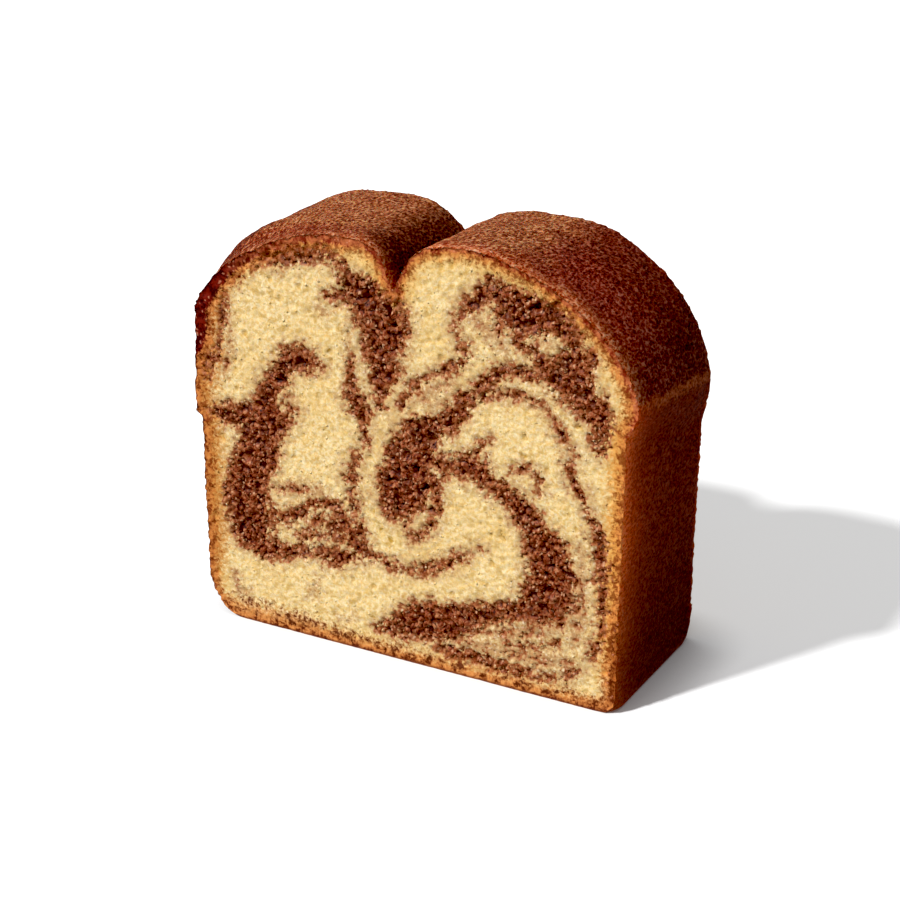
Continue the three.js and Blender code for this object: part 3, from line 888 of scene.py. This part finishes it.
crustColours = {
    "crown": ("#4E1002", "#9C5430", "#D09468"),  # leathery tops of the domes
    "flank": ("#400C0A", "#842C1C", "#C27860"),  # painted shade: the right flank, which faces away from the light, darker and redder
    "flush": ("#600F05", "#8C3A1E", "#D08862"),  # redder tops beside the cuts; on the shaded right flank they are lighter, a painted lit edge
    "shade": ("#2A0502", "#5C1C0C", "#965030"),  # painted shade in the cleft and on the flank's rear; the same colour darkens the far left and the left dome's dusky front
    "wall": ("#4A140C", "#7E2E1E", "#A04E30"),
    "band": ("#6C2812", "#B05A34", "#D07E4C"),  # lighter, because the overhang kept it from browning
    "thin": ("#BC4216", "#F65C28", "#FF884C"),  # painted glow on the walls beside the cuts, where light comes through the crumb, redder
    "rim": ("#D46628", "#FF9E54", "#FFB47A"),  # painted glow, orange along the cuts themselves
    "domeRim": ("#94300C", "#D87C4C", "#FFC8A0"),
    "left": ("#4E200E", "#7E4824", "#A4703E"),  # the left wall, baked evenly
}
footShadeColour = "#1E0502"  # painted shade that the walls darken to at their foot

crustZones = {  # mm, where each begins and where it is full, or full and gone
    "flank": (24, 37),  # across, the right flank in painted shade
    "west": (-6, -20),  # the left dome, whose front is dusky
    "farLeft": (-26, -36),
    "wander": 12,  # how far the borders across the loaf wander
    "cleftAt": -5.0,
    "cleft": (2, 11),  # on each side of it, painted shade
    "rear": (-6, 6),  # along, painted shade on the flank's rear
    "wallFoot": (24, 4),  # up, where the painted glow beside the cuts narrows
    "dark": (0.0, 42),  # up, painted shade darkening the foot of the walls
    "band": (-2.0, 0.5),  # up from the ledge
    "risen": (0.6, 1.6),
    "ledge": (-6.0, 0.0),
}


def bakedCrust():
    # thin, dry baked skin: leathery and pitted where it rose, finer on the tin's walls, where a painted
    # glow beside the cuts turns it orange; with painted shade on the right flank, in the cleft and at the
    # walls' foot, and painted glints on its ridges
    material, add = newMaterial("brownedCrust")
    dome, edge = (add("Attribute", attribute_name=name).outputs["Fac"] for name in ("dome", "edge"))
    spot = add("TexCoord").outputs["Object"]
    place = add("SeparateXYZ", spot)
    x, y, z = (place.outputs[axis] for axis in "XYZ")
    look, zones = crustLook, crustZones
    grain, dimple = crustPattern(add, spot)
    broad = add("TexNoise", spot, size=look["broadSize"], Detail=3.0)
    uneven = add("TexNoise", spot, size=look["unevenSize"], Detail=2.0)
    height = add("Math MULTIPLY_ADD", uneven, look["uneven"], dome)

    # small curled pits with ridges between them, pulled a little along the loaf
    along = add("Mapping", spot, Scale=look["pull"])
    speck = add("TexNoise", along, size=look["speckSize"], Detail=3.0, Roughness=0.7)
    bend = add("TexNoise", along, size=look["curlBendSize"], Detail=2.0)
    bent = add("VectorMath MULTIPLY_ADD", bend.outputs["Color"], (look["curlBend"] * mm,) * 3, along)
    cell = add("TexVoronoi", bent, size=look["curlSize"])
    rise = add("Math MULTIPLY_ADD", speck, 1.3, cell)
    tone = add("MapRange", rise, 0.88, 1.22)
    # darker in the dimples: painted shade
    tone = add("Math MULTIPLY_ADD", dimple, -0.5, tone, use_clamp=True)

    # where each zone of the crust is: the right flank in painted shade, the flushed fronts, painted shade
    # in the cleft and on the flank's rear, the far left
    side = add("Math MULTIPLY_ADD", uneven, zones["wander"] * mm, x)
    flank = add("MapRange", side, *span(zones["flank"]), **eased)
    # lighter ridges with painted glints, fewer on the shaded right flank
    ridgeAndGlint = add("MapRange", flank, 0, 1, 1.0, 0.65)
    ridgeAndGlint = add("MapRange", rise, 1.25, 1.55, 0, ridgeAndGlint)
    torn = add("Math MULTIPLY_ADD", speck, 5.0, edge)
    west = add("MapRange", x, *span(zones["west"]))
    flushed = add("MapRange", torn, add("MapRange", west, 0, 1, 2.5, 7.0), 12.0, 0.9, 0.0, **eased)
    # painted shade in the cleft
    cleftShade = add("Math ADD", x, -zones["cleftAt"] * mm)
    cleftShade = add("Math ABSOLUTE", cleftShade)
    cleftShade = add("MapRange", cleftShade, *span(zones["cleft"]), 0.85, 0.0, **eased)
    # painted shade on the flank's rear
    rear = add("MapRange", y, *span(zones["rear"]), 0, 0.6, **eased)
    rear = add("Math MULTIPLY", rear, flank)
    farLeft = add("MapRange", side, *span(zones["farLeft"]), 0, 0.9, **eased)
    dusk = add("MapRange", torn, 12.0, 5.0, 0, add("MapRange", west, 0, 1, 0, 0.6), **eased)
    # painted shade of the cleft and the rear, and the darker crust of the far left and the dusky left front
    paintedShadeAndDarkCrust = cleftShade
    for darker in (rear, farLeft, dusk):
        paintedShadeAndDarkCrust = add("Math MAXIMUM", paintedShadeAndDarkCrust, darker)
    band = add("MapRange", height, *zones["band"], 0, 0.85, **eased)
    risen = add("MapRange", height, *zones["risen"], **eased)
    # a painted glow beside the cuts, where light comes through the crumb: further in on the walls and
    # hardly on top of the domes
    thin = add("Math MULTIPLY_ADD", broad, 4.0, torn)
    ledge = add("MapRange", height, *zones["ledge"], 0, 5.0, **eased)
    foot = add("MapRange", z, *span(zones["wallFoot"]), 0, 1.6)
    glowDistance = add("Math ADD", thin, ledge)
    glowDistance = add("Math ADD", glowDistance, foot)
    # the painted glow beside the cuts, in two layers
    glowFades = []
    for fall, start in ((-0.172, 1.05), (-0.5, 2.1)):
        fade = add("Math MULTIPLY_ADD", glowDistance, fall, start)
        fade = add("Math EXPONENT", fade)
        glowFades.append(add("Math MINIMUM", fade, 1.0))
    domed = add("MapRange", thin, 3.5, 10.0, add("MapRange", west, 0, 1, 1.0, 0.35), 0.0, **eased)
    # painted shade: the walls darken toward their foot
    dark = add("MapRange", z, *span(zones["dark"]), 0.57, 0.0, **eased)
    layers = []
    for level in range(3):
        shade = {zone: linearColour(trio[level]) for zone, trio in crustColours.items()}
        top = coated(add, shade, "crown", (flank, "flank"), (flushed, "flush"), (paintedShadeAndDarkCrust, "shade"),
                     (domed, "domeRim"))
        layers.append(coated(add, shade, "wall", (band, "band"), (glowFades[0], "thin"), (glowFades[1], "rim"),
                             (farLeft, "left"), (risen, top)))
    crust = coated(add, {}, layers[0], (tone, layers[1]), (ridgeAndGlint, layers[2]),
                   (dark, linearColour(footShadeColour)))

    rough = add("MapRange", speck, 0.3, 0.7, 0.75, 0.5)
    coarse = add("Bump", Strength=0.5, Distance=0.3 * mm, Height=grain)
    fine = add("Bump", Strength=0.7, Distance=0.25 * mm, Height=rise, Normal=coarse)
    # light goes in less deep at the cuts' edges
    soft = add("MapRange", edge, 0, 4.0, 0.15, 0.6)
    surface = add("BsdfPrincipled", Base_Color=crust, Roughness=rough, Normal=fine, Subsurface_Weight=soft,
                  Subsurface_Radius=(1.0, 0.25, 0.08), Subsurface_Scale=6 * mm, Specular_IOR_Level=0.08)
    add("OutputMaterial", Surface=surface)
    return material


# Studio: the floor, the light and the camera.

studio = {
    "floor": "#F2F2F2",
    "floorGlow": 0.385,  # keeps the pale floor white around the slice
    "floorHalf": 6.0,  # m, half the side of the floor
    "contactReach": 0.014,  # m from the slice that its contact shadow reaches
    "contactFall": 3.5,  # how steeply it falls off
    "sunTravel": (0.5, 0.87),  # across and along, the way the light goes
    "sunHeight": 43.0,  # degrees
    "sunStrength": 3.9,
    "sunSpread": 5.0,  # degrees, how soft the shadow's border is
    "sky": "#FFFFFF",
    "skyStrength": 0.3,
    "blackLevel": 0.012,
    "cameraPlace": (0.192959, -0.348221, 0.203863),
    "cameraDown": 22.318,  # degrees below level
    "cameraTurn": 28.978,  # degrees, anticlockwise from looking along the loaf
    "lens": 82.826,  # mm on a 36 mm sensor
}


def buildStudio():
    half = studio["floorHalf"]
    corners = [(-half, -half, 0), (half, -half, 0), (half, half, 0), (-half, half, 0)]
    mesh = bpy.data.meshes.new("floor")
    mesh.from_pydata(corners, [], [(0, 1, 2, 3)])
    floor = addObject("floor", mesh)
    material, add = newMaterial("paleStudioBoard")
    board = add("BsdfDiffuse", Color=linearColour(studio["floor"]))
    free = add("AmbientOcclusion", Distance=studio["contactReach"], samples=8)
    glow = add("Math POWER", free.outputs["AO"], studio["contactFall"])
    glow = add("Math MULTIPLY", glow, studio["floorGlow"])
    glow = add("Emission", Strength=glow)
    add("OutputMaterial", Surface=add("AddShader", board, glow))
    mesh.materials.append(material)
    floor.visible_diffuse = False
    floor.visible_glossy = False

    lamp = bpy.data.lights.new("sun", "SUN")
    lamp.energy = studio["sunStrength"]
    lamp.angle = math.radians(studio["sunSpread"])
    sun = addObject("sun", lamp)
    rise = math.radians(studio["sunHeight"])
    travel = Vector(studio["sunTravel"]).normalized() * math.cos(rise)
    sun.rotation_euler = Vector((*travel, -math.sin(rise))).to_track_quat("-Z", "Y").to_euler()

    world = bpy.data.worlds.new("softSky")
    world.use_nodes = True
    background = world.node_tree.nodes["Background"]
    background.inputs["Color"].default_value = linearColour(studio["sky"])
    background.inputs["Strength"].default_value = studio["skyStrength"]
    scene.world = world

    lens = bpy.data.cameras.new("camera")
    lens.lens = studio["lens"]
    lens.sensor_width = 36
    camera = addObject("camera", lens)
    camera.location = studio["cameraPlace"]
    camera.rotation_euler = (math.radians(90 - studio["cameraDown"]), 0, math.radians(studio["cameraTurn"]))
    scene.camera = camera
    scene.view_settings.view_transform = "Standard"
    scene.view_settings.use_curve_mapping = True
    scene.view_settings.curve_mapping.black_level = (studio["blackLevel"],) * 3
    scene.view_settings.curve_mapping.update()


buildStudio()
report("studio", "floor, sun, sky and camera")

crumb, crust = cakeCrumb(), bakedCrust()
cake = bakeSlice()
report("slice", f"{len(cake.data.vertices)} points before relief")
applyTree(cake, reliefTree(crumb, crust), {name: size * mm for name, size in relief.items()})
report("relief", f"{sum(len(p.vertices) - 2 for p in cake.data.polygons)} triangles")

loose = addObject("crumbGrains", cake.data.copy())
applyTree(loose, grainTree(crumb), grains)
report("grains", f"{sum(len(p.vertices) - 2 for p in loose.data.polygons)} triangles")

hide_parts(loafSlice["node"])
for piece in (cake, loose):
    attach(piece, "root")

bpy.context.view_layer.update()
report("done")
